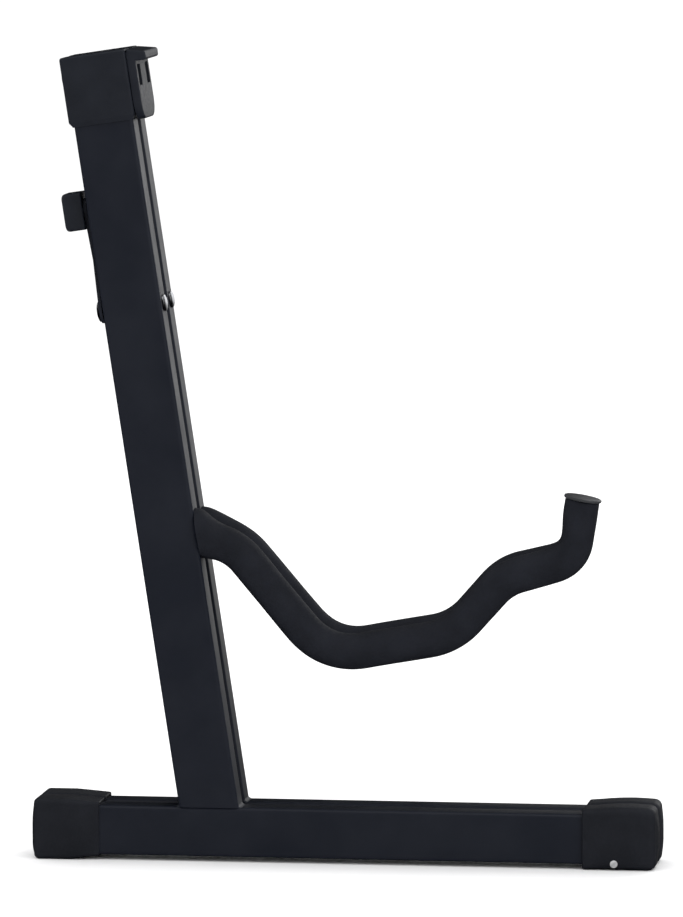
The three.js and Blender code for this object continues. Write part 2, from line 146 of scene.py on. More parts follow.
# ---------------------------------------------------------------- outlines and solids
def rounded_rectangle(width, height, radius, steps=6):
    """Counter-clockwise points of a rectangle with round corners, centred on the origin."""
    x, y = width / 2 - radius, height / 2 - radius
    points = []
    for corner, (cx, cy) in enumerate(((x, -y), (x, y), (-x, y), (-x, -y))):
        for step in range(steps + 1):
            angle = math.pi / 2 * (corner - 1 + step / steps)
            points.append((cx + radius * math.cos(angle), cy + radius * math.sin(angle)))
    return points


def loft(rings, close=True):
    """A skin through rings of equally many points, closed at both ends."""
    mesh = bmesh.new()
    rows = [[mesh.verts.new(point) for point in ring] for ring in rings]
    count = len(rows[0])
    pairs = list(zip(rows, rows[1:]))
    if not close:
        pairs.append((rows[-1], rows[0]))
    for low, high in pairs:
        for i in range(count):
            j = (i + 1) % count
            mesh.faces.new((low[i], low[j], high[j], high[i]))
    if close:
        mesh.faces.new(rows[0][::-1])
        mesh.faces.new(rows[-1])
    bmesh.ops.recalc_face_normals(mesh, faces=mesh.faces)
    return mesh


def turned(profile, segments=48):
    """A solid turned about +Z. The profile runs from the axis to the axis as (radius, height)."""
    mesh = bmesh.new()
    rows = []
    for radius, height in profile:
        if radius == 0:
            rows.append([mesh.verts.new((0, 0, height))])
            continue
        angles = [math.tau * i / segments for i in range(segments)]
        rows.append([mesh.verts.new((radius * math.cos(a), radius * math.sin(a), height)) for a in angles])
    for low, high in zip(rows, rows[1:]):
        for i in range(segments):
            j = (i + 1) % segments
            corners = [low[i % len(low)], low[j % len(low)], high[j % len(high)], high[i % len(high)]]
            mesh.faces.new(list(dict.fromkeys(corners)))
    bmesh.ops.recalc_face_normals(mesh, faces=mesh.faces)
    return mesh


def rod(radius, start, end, y, z, segments=64):
    """A plain round bar along x."""
    mesh = turned([(0, start), (radius, start), (radius, end), (0, end)], segments)
    mesh.transform(Matrix.Translation((0, y, z)) @ Matrix.Rotation(math.pi / 2, 4, "Y"))
    return mesh


def block(low, high):
    mesh = bmesh.new()
    bmesh.ops.create_cube(mesh, size=1)
    size = [b - a for a, b in zip(low, high)]
    middle = [(a + b) / 2 for a, b in zip(low, high)]
    mesh.transform(Matrix.Translation(middle) @ Matrix.Diagonal((*size, 1)))
    return mesh


def object_of(mesh, name="shape"):
    data = bpy.data.meshes.new(name)
    mesh.to_mesh(data)
    mesh.free()
    made = bpy.data.objects.new(name, data)
    bpy.context.scene.collection.objects.link(made)
    return made


def settle(shape):
    """Applies the object's modifiers to its mesh."""
    graph = bpy.context.evaluated_depsgraph_get()
    data = bpy.data.meshes.new_from_object(shape.evaluated_get(graph))
    shape.modifiers.clear()
    shape.data = data
    return shape


def combine(shape, tool, operation):
    """Joins a tool to the shape, or cuts it away."""
    other = object_of(tool, "tool")
    change = shape.modifiers.new("combine", "BOOLEAN")
    change.operation, change.object, change.solver = operation, other, "MANIFOLD"
    settle(shape)
    bpy.data.objects.remove(other)
    return shape


def soften(shape, width, angle=30, segments=3):
    """Rounds the edges sharper than an angle."""
    change = shape.modifiers.new("soften", "BEVEL")
    change.width, change.segments, change.limit_method = width, segments, "ANGLE"
    change.angle_limit = math.radians(angle)
    change.harden_normals = False
    return settle(shape)


def place(shape, name, matrix, body, nodes, material, sharp=32):
    """Turns a shape into a named piece of the stand, riding on a body."""
    if isinstance(shape, bmesh.types.BMesh):
        shape = object_of(shape)
    shape.name = shape.data.name = name
    shape.data.transform(matrix)
    shape.data.materials.clear()
    shape.data.materials.append(material)
    for polygon in shape.data.polygons:
        polygon.use_smooth = True
    shape.data.set_sharp_from_angle(angle=math.radians(sharp))
    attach(shape, body)
    if nodes:
        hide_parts(*nodes)
    return shape


# ---------------------------------------------------------------- materials
def shader(name, color, roughness, **values):
    material = bpy.data.materials.new(name)
    material.use_nodes = True
    surface = material.node_tree.nodes["Principled BSDF"]
    surface.inputs["Base Color"].default_value = (*color, 1)
    surface.inputs["Roughness"].default_value = roughness
    for socket, value in values.items():
        surface.inputs[socket.replace("_", " ")].default_value = value
    return material, material.node_tree, surface


def place_texture(tree, kind, scale, **values):
    """A texture in the object's own coordinates, so that it stays on the piece as it moves."""
    where = tree.nodes.get("Where") or tree.nodes.new("ShaderNodeTexCoord")
    where.name = "Where"
    texture = tree.nodes.new(kind)
    tree.links.new(where.outputs["Object"], texture.inputs["Vector"])
    texture.inputs["Scale"].default_value = scale
    for socket, value in values.items():
        texture.inputs[socket.replace("_", " ")].default_value = value
    return texture


def spread(tree, source, low, high, start=0.35, end=0.65):
    """A colour ramp between two colours."""
    ramp = tree.nodes.new("ShaderNodeValToRGB")
    ramp.color_ramp.elements[0].position = start
    ramp.color_ramp.elements[1].position = end
    ramp.color_ramp.elements[0].color = (*low, 1)
    ramp.color_ramp.elements[1].color = (*high, 1)
    tree.links.new(source, ramp.inputs["Fac"])
    return ramp.outputs["Color"]


def vary(tree, source, low, high, start=0.3, end=0.7):
    """Maps a texture's middle range to a span of values."""
    node = tree.nodes.new("ShaderNodeMapRange")
    node.inputs["From Min"].default_value = start
    node.inputs["From Max"].default_value = end
    node.inputs["To Min"].default_value = low
    node.inputs["To Max"].default_value = high
    tree.links.new(source, node.inputs["Value"])
    return node.outputs["Result"]


def bump(tree, surface, *layers):
    """Stacks bump layers, each a height source with its depth in metres and strength."""
    normal = None
    for source, depth, strength in layers:
        node = tree.nodes.new("ShaderNodeBump")
        node.inputs["Distance"].default_value = depth
        node.inputs["Strength"].default_value = strength
        tree.links.new(source, node.inputs["Height"])
        if normal:
            tree.links.new(normal, node.inputs["Normal"])
        normal = node.outputs["Normal"]
    tree.links.new(normal, surface.inputs["Normal"])


def powder_coat():
    """Satin black powder coat: fine orange peel, with faint cloudiness."""
    dark, light = (0.0094, 0.0118, 0.0198), (0.0116, 0.0143, 0.0236)
    material, tree, surface = shader("powder_coat", dark, 0.42, Specular_IOR_Level=0.32)
    cloud = place_texture(tree, "ShaderNodeTexNoise", 38, Detail=3.0)
    peel = place_texture(tree, "ShaderNodeTexNoise", 1500, Detail=2.0)
    grit = place_texture(tree, "ShaderNodeTexVoronoi", 2600)
    tree.links.new(spread(tree, cloud.outputs["Fac"], dark, light), surface.inputs["Base Color"])
    tree.links.new(vary(tree, cloud.outputs["Fac"], 0.38, 0.48), surface.inputs["Roughness"])
    peel_layer = (peel.outputs["Fac"], 0.00006, 0.35)
    bump(tree, surface, peel_layer, (grit.outputs["Distance"], 0.00003, 0.2))
    return material


def moulded(name, dark, light, roughness, specular, grain):
    """Moulded plastic or rubber with a spark-eroded grain."""
    material, tree, surface = shader(name, dark, roughness, Specular_IOR_Level=specular)
    cloud = place_texture(tree, "ShaderNodeTexNoise", 55, Detail=4.0)
    fine = place_texture(tree, "ShaderNodeTexVoronoi", grain)
    coarse = place_texture(tree, "ShaderNodeTexNoise", grain * 0.4, Detail=3.0)
    tree.links.new(spread(tree, cloud.outputs["Fac"], dark, light), surface.inputs["Base Color"])
    sheen = vary(tree, coarse.outputs["Fac"], roughness - 0.06, roughness + 0.06)
    tree.links.new(sheen, surface.inputs["Roughness"])
    bump(tree, surface, (coarse.outputs["Fac"], 0.00008, 0.4), (fine.outputs["Distance"], 0.00005, 0.35))
    return material


def foam():
    """Closed-cell foam: matte, with small cells and a faint soft sheen."""
    dark, light = (0.0070, 0.0086, 0.0146), (0.0100, 0.0119, 0.0192)
    material, tree, surface = shader("foam", dark, 0.78, Specular_IOR_Level=0.3)
    cloud = place_texture(tree, "ShaderNodeTexNoise", 60, Detail=5.0)
    cells = place_texture(tree, "ShaderNodeTexVoronoi", 1700)
    skin = place_texture(tree, "ShaderNodeTexNoise", 420, Detail=4.0)
    tree.links.new(spread(tree, cloud.outputs["Fac"], dark, light), surface.inputs["Base Color"])
    tree.links.new(vary(tree, skin.outputs["Fac"], 0.70, 0.86), surface.inputs["Roughness"])
    bump(tree, surface, (skin.outputs["Fac"], 0.00018, 0.45), (cells.outputs["Distance"], 0.0001, 0.5))
    return material


def zinc_plate(name, dark, light, metallic):
    """Zinc plate, slightly clouded, with fine scratches."""
    material, tree, surface = shader(name, dark, 0.3, Metallic=metallic)
    cloud = place_texture(tree, "ShaderNodeTexNoise", 320, Detail=4.0)
    scratch = place_texture(tree, "ShaderNodeTexNoise", 2400, Detail=2.0, Distortion=1.5)
    tint = spread(tree, cloud.outputs["Fac"], dark, light)
    tree.links.new(tint, surface.inputs["Base Color"])
    tree.links.new(vary(tree, cloud.outputs["Fac"], 0.24, 0.42), surface.inputs["Roughness"])
    bump(tree, surface, (scratch.outputs["Fac"], 0.00004, 0.3))
    return material


PAINT = powder_coat()
RUBBER = moulded("foot_rubber", (0.0080, 0.0098, 0.0160), (0.0104, 0.0124, 0.0196), 0.66, 0.34, 1400)
PLASTIC = moulded("head_plastic", (0.0106, 0.0132, 0.0208), (0.0132, 0.0162, 0.0248), 0.5, 0.34, 1800)
PLUG_PLASTIC = moulded("plug_plastic", (0.0300, 0.0320, 0.0360), (0.0400, 0.0420, 0.0460), 0.42, 0.5, 1600)
FOAM = foam()
ZINC = zinc_plate("bright_zinc", (0.40, 0.41, 0.44), (0.60, 0.61, 0.63), 1.0)
# Pale, half-metallic zinc for the foot screws: real zinc lightened into a painted glint, because glossy
# faces here mirror no bright room.
GLINT_PAINTED_ZINC = zinc_plate("zinc_with_painted_glint", (0.66, 0.67, 0.68), (0.80, 0.81, 0.82), 0.45)


# ---------------------------------------------------------------- one half frame
def upright(side):
    """Rectangular tube with round corners, cut level where it stands on the foot bar."""
    outline = rounded_rectangle(UPRIGHT["depth"], UPRIGHT["width"], UPRIGHT["corner"])
    y = side * HALF_SPACING
    level = FOOT["bottom"] + FOOT["height"] - SEAT
    sine, cosine = ACROSS.z, ACROSS.x
    foot = [(x, y + dy, (level - x * sine) / cosine) for x, dy in outline]
    stations = (60, 160, 260, UPRIGHT["top"])
    return loft([foot] + [[(x, y + dy, z) for x, dy in outline] for z in stations])


def weld(side, end):
    """Painted weld in the corner between the upright and the foot bar, lightly rippled."""
    y = side * HALF_SPACING
    sine, cosine = ACROSS.z, ACROSS.x
    level = FOOT["bottom"] + FOOT["height"]
    foot_x = LEAN_ORIGIN.x * 1000 + (end * UPRIGHT["depth"] / 2 - level * sine) / cosine
    rise = Vector((ALONG.x, 0, ALONG.z))
    run = Vector((end, 0, 0))
    corner = Vector((foot_x, 0, level)) - run * WELD["short"] - Vector((0, 0, WELD["overlap"]))
    steps, facets, reach = 26, 6, UPRIGHT["width"] / 2 - WELD["short"]
    rings = []
    for step in range(steps + 1):
        share = 2 * step / steps - 1
        fade = math.sqrt(max(0.0, 1 - share ** 6))
        size = (WELD["size"] + WELD["ripple"] * math.cos(step * 2.1)) * (0.35 + 0.65 * fade)
        across = Vector((0, y + share * reach, 0))
        arc = [run * (size + WELD["overlap"])]
        for i in range(1, facets):
            angle = math.pi / 2 * i / facets
            out, up = 1 - WELD["hollow"] * math.sin(angle), 1 - WELD["hollow"] * math.cos(angle)
            arc.append(run * size * out + rise * size * up)
        arc.append(rise * (size + WELD["overlap"]))
        rings.append([corner + across + point for point in arc] + [corner + across])
    return loft(rings)


def foot_bar(side):
    outline = rounded_rectangle(FOOT["width"], FOOT["height"], FOOT["corner"])
    y, z = side * HALF_SPACING, FOOT["bottom"] + FOOT["height"] / 2
    stations = (-FOOT["half_length"], -50, 50, FOOT["half_length"])
    return loft([[(x, y + dy, z + dz) for dy, dz in outline] for x in stations])


def ease(share):
    share = min(1.0, max(0.0, share))
    return share * share * (3 - 2 * share)


def cap_heights(end, along):
    """Bottom and top of a shoe: the rear one flares from its mouth, the front one has a crowned top."""
    bar_bottom, bar_top = FOOT["bottom"], FOOT["bottom"] + FOOT["height"]
    if end < 0:
        drop = REAR_FLARE["drop"]
        top = bar_top + REAR_FLARE["proud"] + REAR_FLARE["rise"] * min(1.0, along / REAR_FLARE["run"])
        return bar_bottom - drop - (bar_bottom - drop) * ease(along / REAR_FLARE["run"]), top
    length = FOOT_CAP[end]["length"]
    crown = FRONT_CROWN["crown"] * math.sin(math.pi * min(1.0, along / (length + FRONT_CROWN["past"])))
    return 0.0, bar_top + FRONT_CROWN["proud"] + crown + FRONT_CROWN["rise"] * ease(along / length)


def foot_cap(side, end):
    """Rubber shoe: a mouth that fits the bar, a swelling body and a bulged, rounded end."""
    y = side * HALF_SPACING
    cap = FOOT_CAP[end]
    mouth = cap["tip"] - cap["length"]
    round_end, bulge, lip = cap["round_end"], cap["bulge"], cap["lip"]

    def widening(name, along):
        return cap[f"mouth_{name}"] + (cap[name] - cap[f"mouth_{name}"]) * ease(along / cap[f"{name}_run"])

    def section(x, inset=0.0):
        along = x - mouth
        bottom, top = cap_heights(end, along)
        size = (2 * (widening("half", along) - inset), top - bottom - 2 * inset)
        corner = max(0.5, widening("corner", along) - inset * 0.5)
        middle = (top + bottom) / 2
        return [(p, middle + q) for p, q in rounded_rectangle(*size, corner, 7)]

    # Inside the mouth the shoe's bore meets the bar, and its lip is a quarter round.
    bore = rounded_rectangle(FOOT["width"] + 0.4, FOOT["height"] + 0.4, FOOT["corner"], 7)
    bar_middle = FOOT["bottom"] + FOOT["height"] / 2
    rings = [[(mouth + depth, p, bar_middle + q) for p, q in bore] for depth in (3.0, 0.4)]
    for step in range(4):
        angle = math.pi / 2 * step / 3
        inset = lip * (1 - math.sin(angle))
        rings.append([(mouth + lip * (1 - math.cos(angle)), p, q) for p, q in section(mouth, inset)])
    start, stop = mouth + 1.2, cap["tip"] - bulge - round_end
    for step in range(17):
        x = start + (stop - start) * step / 16
        rings.append([(x, p, q) for p, q in section(x)])
    # The end: its edges are rounded, and its face bulges to the tip.
    for step in range(1, 9):
        angle = math.pi / 2 * step / 8
        inset = round_end * (1 - math.cos(angle)) * 0.8
        x = stop + round_end * math.sin(angle)
        rings.append([(x, p, q) for p, q in section(stop, inset)])
    edge = section(stop, round_end * 0.8)
    centre = sum(q for _, q in edge) / len(edge) + cap["crest"]
    for step in range(1, 8):
        share = 1 - step / 8
        x = stop + round_end + bulge * (1 - share ** 2)
        rings.append([(x, p * share, centre + (q - centre) * share) for p, q in edge])
    return loft([[(end * x, y + p, q) for x, p, q in ring] for ring in rings])


def arm_line(side):
    """Points along an arm's centre line with their directions, about a millimetre apart."""
    share = max(side, 0)
    straight_step, bend_step = 1.4, 1.2
    corners = [Vector((x + share * dx, 0, z + share * dz)) for x, z, _, (dx, dz) in ARM_ROUTE]
    start, points = corners[0], []

    def run(a, b):
        steps = max(2, round((b - a).length / straight_step))
        points.extend(a.lerp(b, step / steps) for step in range(steps))

    for before, corner, after, (_, _, bend, _) in zip(corners, corners[1:], corners[2:], ARM_ROUTE[1:]):
        turn = (corner - before).angle(after - corner)
        tangent = bend * math.tan(turn / 2)
        first = corner + (before - corner).normalized() * tangent
        last = corner + (after - corner).normalized() * tangent
        run(start, first)
        steps = max(4, round(2 * tangent / bend_step))
        for step in range(steps):
            t = step / steps
            points.append(first * (1 - t) ** 2 + corner * 2 * t * (1 - t) + last * t ** 2)
        start = last
    run(start, corners[-1])
    points.append(corners[-1])
    directions = [(b - a).normalized() for a, b in zip(points, points[1:])]
    return points, directions + [directions[-1]]


def arm_sleeve(side):
    """Foam tube over the arm: swollen upwards where it is pushed against the upright, squeezed inside
    the last bend, and drawn in a little under the plug."""
    y = side * HALF_SPACING
    points, directions = arm_line(side)
    front = UPRIGHT["depth"] / 2 + GAP
    sides, step_length = SLEEVE["sides"], (points[1] - points[0]).length
    angles = [math.tau * i / sides for i in range(sides)]
    upper = [max(0.0, math.cos(angle)) ** 1.4 for angle in angles]
    drift = Vector((side * 3.0, 0, 0))  # so that the two sleeves are uneven in different ways

    def outwards(direction):
        across = Vector((-direction.z, 0, direction.x))
        return [across * math.cos(angle) + Vector((0, math.sin(angle), 0)) for angle in angles]

    def from_upright(point):
        return (TO_LEANING @ point).x - front

    def from_end(index):
        return sum((b - a).length for a, b in zip(points[index:], points[index + 1:]))

    def radius(index):
        drawn_in = SLEEVE_END["depth"] * math.exp(-(from_end(index) / SLEEVE_END["reach"]) ** 2)
        return SLEEVE["radius"] - drawn_in

    def skin(point, direction, radius, squeeze=0.0):
        """A loop of the slightly uneven outer skin; squeeze draws its upper side in."""
        made = []
        for out, top in zip(outwards(direction), upper):
            spot = point + out * radius
            uneven = noise.noise(spot * SLEEVE_UNEVEN["size"] + drift) * SLEEVE_UNEVEN["depth"]
            made.append(spot + out * (uneven - squeeze * top))
        return made

    def outer_skin(index):
        squeeze = math.exp(-((from_end(index) - SLEEVE_SQUEEZE["from_end"]) / SLEEVE_SQUEEZE["reach"]) ** 2)
        return skin(points[index], directions[index], radius(index), SLEEVE_SQUEEZE["depth"] * squeeze)

    def swollen(loop, direction):
        """Moves the upper side outwards, most of all where it meets the upright."""
        most, reach = SLEEVE_ROOT[side]
        moved = []
        for spot, out, top in zip(loop, outwards(direction), upper):
            depth = max(0.0, from_upright(spot))
            moved.append(spot + out * most * math.exp(-(depth / reach) ** 2) * top)
        return moved

    def on_upright(loop, direction):
        """Slides the loop's points along the arm until they meet the upright's front."""
        slope = (TO_LEANING.to_3x3() @ direction).x
        return [point - direction * (from_upright(point) / slope) for point in loop]

    outer = [outer_skin(index) for index in range(len(points))]
    inner = [[p + out * SLEEVE["bore"] for out in outwards(d)] for p, d in zip(points, directions)]
    first = next(i for i, loop in enumerate(outer) if min(map(from_upright, loop)) > step_length / 2)
    start_direction = directions[first]
    flat_start = on_upright(outer[first], start_direction)
    root_steps = 6
    root = []
    for step in range(root_steps):
        between = [a.lerp(b, step / root_steps) for a, b in zip(flat_start, outer[first])]
        root.append(swollen(between, start_direction))
    root[0] = on_upright(root[0], start_direction)
    body = [swollen(loop, direction) for loop, direction in zip(outer[first:-1], directions[first:-1])]

    end, heading, edge = points[-1], directions[-1], SLEEVE["edge"]
    rounding = []
    for step in range(1, 5):
        angle = math.pi / 2 * step / 4
        back = end - heading * edge * (1 - math.sin(angle))
        rounding.append(skin(back, heading, radius(len(points) - 1) - edge * (1 - math.cos(angle))))
    bore = [inner[-1]] + inner[-2:first - 1:-1] + [on_upright(inner[first], start_direction)]
    rings = root + body + rounding + bore
    return loft([[point + Vector((0, y, 0)) for point in loop] for loop in rings], close=False)


def arm_plug(side):
    """Moulded end plug: a thin, slightly domed flange on a spigot."""
    spigot, inside, bevel = PLUG["spigot"], -PLUG["length"], PLUG["bevel"]
    rim, half_thick = PLUG["rim"], PLUG["thickness"] / 2
    flat = PLUG["flange"] - rim
    profile = [(0, inside), (spigot - bevel, inside), (spigot, inside + bevel)]
    profile += [(spigot, SEAT), (flat + 0.1, SEAT)]
    for step in range(7):
        angle = math.pi * (step / 6 - 0.5)
        profile.append((flat + rim * math.cos(angle), SEAT + half_thick * (1 + math.sin(angle))))
    for step in range(1, 7):
        share = 1 - step / 6
        profile.append((flat * share, SEAT + PLUG["thickness"] + PLUG["dome"] * (1 - share ** 2)))
    mesh = turned(profile, 64)
    points, directions = arm_line(side)
    turn = directions[-1].to_track_quat("Z", "Y").to_matrix().to_4x4()
    mesh.transform(Matrix.Translation(points[-1] + Vector((0, side * HALF_SPACING, 0))) @ turn)
    return mesh


def top_cap(side):
    """Moulded cap over the upright, with its two hinge knuckles."""
    width = TOP_CAP["outer"] - TOP_CAP["inner"]
    depth = TOP_CAP["front"] - TOP_CAP["rear"]
    centre_x = (TOP_CAP["front"] + TOP_CAP["rear"]) / 2
    centre_y = side * (TOP_CAP["outer"] + TOP_CAP["inner"]) / 2
    bottom, top, crown = TOP_CAP["bottom"], TOP_CAP["top"], TOP_CAP["crown"]
    chamfer_top = bottom + TOP_CAP["chamfer"]

    def ring(z, inset):
        corner = max(0.4, TOP_CAP["corner"] - inset * 0.5)
        outline = rounded_rectangle(depth - 2 * inset, width - 2 * inset, corner, 5)
        return [(centre_x + p, centre_y + q, z) for p, q in outline]

    rings = [ring(bottom, 1.5), ring(bottom + 0.5, 1.35), ring(chamfer_top, 0.1), ring(chamfer_top + 0.5, 0)]
    rings.append(ring(top - crown, 0))
    for step in range(1, 6):
        angle = math.pi / 2 * step / 5
        rings.append(ring(top - crown * (1 - math.sin(angle)), crown * 0.8 * (1 - math.cos(angle))))
    shape = object_of(loft(rings))

    y = side * HALF_SPACING
    half_depth, half_width = UPRIGHT["depth"] / 2 + GAP, UPRIGHT["width"] / 2 + GAP
    tube_top = UPRIGHT["top"] + 2 * GAP
    tube_space = block((-half_depth, y - half_width, bottom - CUT), (half_depth, y + half_width, tube_top))
    combine(shape, tube_space, "DIFFERENCE")
    # Above the pin the inner face slopes away, to leave room for the other cap as the stand opens.
    inner, slope = TOP_CAP["inner"], math.tan(math.radians(TOP_CAP["slope"]))
    wedge = [(-side * CUT, 0), (side * inner, 0), (side * (inner + CUT * slope), CUT), (-side * CUT, CUT)]
    combine(shape, loft([[(x, p, HINGE_HEIGHT + q) for p, q in wedge] for x in (-CUT, CUT)]), "DIFFERENCE")

    own, other = ((0, 2), (1, 3)) if side < 0 else ((1, 3), (0, 2))
    half_gap = KNUCKLE_CLEARANCE / 2
    for index in other:
        start, end = KNUCKLE_EDGES[index] - half_gap, KNUCKLE_EDGES[index + 1] + half_gap
        combine(shape, rod(KNUCKLE_RADIUS + KNUCKLE_CLEARANCE, start, end, 0, HINGE_HEIGHT), "DIFFERENCE")
    for index in own:
        start, end = KNUCKLE_EDGES[index] + half_gap, KNUCKLE_EDGES[index + 1] - half_gap
        combine(shape, rod(KNUCKLE_RADIUS, start, end, 0, HINGE_HEIGHT), "UNION")
    combine(shape, rod(PIN["bore"], -CUT, CUT, 0, HINGE_HEIGHT), "DIFFERENCE")
    return soften(shape, 0.3, 50, 2)


def dome(radius, depth, lip=0.5):
    """Profile of a rivet head from its seat to its crown."""
    profile = [(0, 0), (radius, 0), (radius, lip)]
    for step in range(1, 9):
        angle = math.pi / 2 * step / 8
        profile.append((radius * math.cos(angle) if step < 8 else 0, lip + (depth - lip) * math.sin(angle)))
    return profile


def headed(radius, front, back, front_head, rear_head, depth, y, z):
    """A rivet along x with a domed head at each end; a head of no radius is left out."""
    profile = []
    if rear_head:
        profile += [(r, back - h) for r, h in reversed(dome(rear_head, depth)) if (r, h) != (0, 0)]
    else:
        profile.append((0, back))
    profile += [(radius, back), (radius, front)]
    if front_head:
        profile += [(r, front + h) for r, h in dome(front_head, depth)[1:]]
    else:
        profile.append((0, front))
    mesh = turned(profile)
    mesh.transform(Matrix.Translation((0, y, z)) @ Matrix.Rotation(math.pi / 2, 4, "Y"))
    return mesh


def stay_rivet(side, name):
    front = UPRIGHT["depth"] / 2 + SEAT
    back = LINK_BACK[name] - SEAT
    sizes = (RIVET["front_head"], RIVET["rear_head"], RIVET["depth"])
    return headed(RIVET["radius"], front, back, *sizes, side * HALF_SPACING, RIVET_HEIGHT)


def washer(outer, bore, start, end, y, z):
    """A flat ring round an axis along x, with its outer edges broken."""
    bevel = min(0.2, (end - start) / 4)
    profile = [(bore, start), (outer - bevel, start), (outer, start + bevel)]
    profile += [(outer, end - bevel), (outer - bevel, end), (bore, end)]
    facets = 56
    angles = [math.tau * i / facets for i in range(facets)]
    rings = [[(h, y + r * math.cos(a), z + r * math.sin(a)) for r, h in profile] for a in angles]
    return loft(rings, close=False)


def stay_link(side, name):
    """Flat steel bar with round ends and an eye at each end."""
    low = Vector((0, side * HALF_SPACING, RIVET_HEIGHT))
    high = Vector((0, 0, KNUCKLE_HEIGHT))
    along = (high - low).normalized()
    across = Vector((0, along.z, -along.y))
    half, steps = LINK["half_width"], 18
    outline = []
    for centre, start in ((high, 0), (low, math.pi)):
        for step in range(steps + 1):
            angle = start + math.pi * step / steps
            outline.append(centre + (across * math.cos(angle) + along * math.sin(angle)) * half)
    back = LINK_BACK[name]
    rings = [[(x, p.y, p.z) for p in outline] for x in (back, back + LINK["thickness"])]
    shape = object_of(loft(rings))
    for eye in (low, high):
        combine(shape, rod(LINK["bore"], back - CUT, back + CUT, eye.y, eye.z, 40), "DIFFERENCE")
    return soften(shape, 0.3, 40, 3)


def foot_screw(side):
    """Slotted, domed screw head low on the front shoe's outer face."""
    radius, rise, slot = FOOT_SCREW["radius"], FOOT_SCREW["rise"], FOOT_SCREW["slot"]
    sunk, slot_floor = FOOT_SCREW["sunk"], 0.6
    shape = object_of(turned(dome(radius, rise + 0.5, sunk)))
    combine(shape, block((-CUT, -slot / 2, slot_floor), (CUT, slot / 2, CUT)), "DIFFERENCE")
    soften(shape, 0.08, 40, 2)
    turn = Matrix.Rotation(math.radians(FOOT_SCREW["turn"]), 4, "Z")
    turn = Matrix.Rotation(-side * math.pi / 2, 4, "X") @ turn
    face = side * (HALF_SPACING + FOOT_CAP[1]["half"] - sunk)
    shape.data.transform(Matrix.Translation((FOOT_SCREW["x"], face, FOOT_SCREW["z"])) @ turn)
    return shape


# ---------------------------------------------------------------- shared pieces
def hinge_cover():
    """Moulded front piece: a tongue with two windows, under a bar that stands forwards."""
    half, corner = COVER["half_width"], COVER["corner"]

    def tongue(x, inset):
        """The tongue's outline across y and z, with its two lower corners round."""
        high, arc_z, radius = COVER["top"] - COVER["under_lip"], COVER["bottom"] + corner, corner - inset
        outline = [(half - inset, high), (-half + inset, high)]
        for centre, start in ((-half + corner, math.pi), (half - corner, 1.5 * math.pi)):
            for step in range(13):
                angle = start + math.pi / 2 * step / 12
                outline.append((centre + radius * math.cos(angle), arc_z + radius * math.sin(angle)))
        return [(x, p, q) for p, q in outline]

    def lip(y, inset):
        """The lip's outline across x and z, round at its two front corners, drooping forwards."""
        low, high = LIP["bottom"], COVER["top"]
        rim, nose = LIP["rim"] + 0.3, LIP["front"]
        outline = [(COVER["back"], high), (COVER["back"], low)]
        for corner_z, start in ((LIP["front_bottom"] + rim, -90), (LIP["front_top"] - rim, 0)):
            for step in range(7):
                angle = math.radians(start + 15 * step)
                outline.append((nose - rim + rim * math.cos(angle), corner_z + rim * math.sin(angle)))
        mid_x, mid_z = (COVER["back"] + nose) / 2, (low + high) / 2
        shrink_x, shrink_z = 1 - 2 * inset / (nose - COVER["back"]), 1 - 2 * inset / (high - low)
        return [(mid_x + (p - mid_x) * shrink_x, y, mid_z + (q - mid_z) * shrink_z) for p, q in outline]

    def lip_rings():
        made = []
        for side in (-1, 1):
            for step in range(5):
                angle = math.pi / 2 * (4 - step if side > 0 else step) / 4
                inset = LIP["rim"] * (1 - math.sin(angle))
                made.append(lip(side * (half - LIP["rim"] * (1 - math.cos(angle))), inset))
        return made

    def rims(profile, back, front, radius):
        rings = [profile(back, 0)]
        for step in range(5):
            angle = math.pi / 2 * step / 4
            rings.append(profile(front - radius * (1 - math.sin(angle)), radius * (1 - math.cos(angle))))
        return rings

    shape = object_of(loft(rims(tongue, COVER["back"], COVER["front"], COVER["rim"])))
    combine(shape, loft(lip_rings()), "UNION")
    window_width, window_height = WINDOW["outer"] - WINDOW["inner"], WINDOW["top"] - WINDOW["bottom"]
    outline = rounded_rectangle(window_width, window_height, 1.0, 4)
    through = (COVER["back"] - CUT, COVER["front"] + CUT)
    for side in SIDES.values():
        y = side * (WINDOW["inner"] + WINDOW["outer"]) / 2
        z = (WINDOW["bottom"] + WINDOW["top"]) / 2
        window = loft([[(x, y + p, z + q) for p, q in outline] for x in through])
        combine(shape, window, "DIFFERENCE")
    socket = rod(PIN["bore"], COVER["back"] - CUT, COVER["front"] - COVER["skin"], 0, HINGE_HEIGHT)
    combine(shape, socket, "DIFFERENCE")
    return soften(shape, 0.35, 50, 3)


def stay_grip():
    """Moulded block on the knuckle, rounded at the rear."""
    back, rim, front_rim = GRIP["back"], GRIP["rim"], GRIP["front_rim"]
    front = LINK_BACK["right"] - GRIP["front_gap"]

    def ring(x, inset):
        size = (GRIP["width"] - 2 * inset, GRIP["height"] - 2 * inset)
        outline = rounded_rectangle(*size, max(0.5, GRIP["corner"] - inset * 0.5), 6)
        return [(x, p, KNUCKLE_HEIGHT + q) for p, q in outline]

    rings = []
    for step in range(7, 0, -1):
        angle = math.pi / 2 * step / 7
        rings.append(ring(back + rim * (1 - math.sin(angle)), rim * (1 - math.cos(angle))))
    rings += [ring(back + rim, 0), ring(front - front_rim, 0), ring(front, front_rim)]
    shape = object_of(loft(rings))
    pocket = rod(LINK["bore"], front - GRIP["pocket"], front + CUT, 0, KNUCKLE_HEIGHT, 40)
    return combine(shape, pocket, "DIFFERENCE")


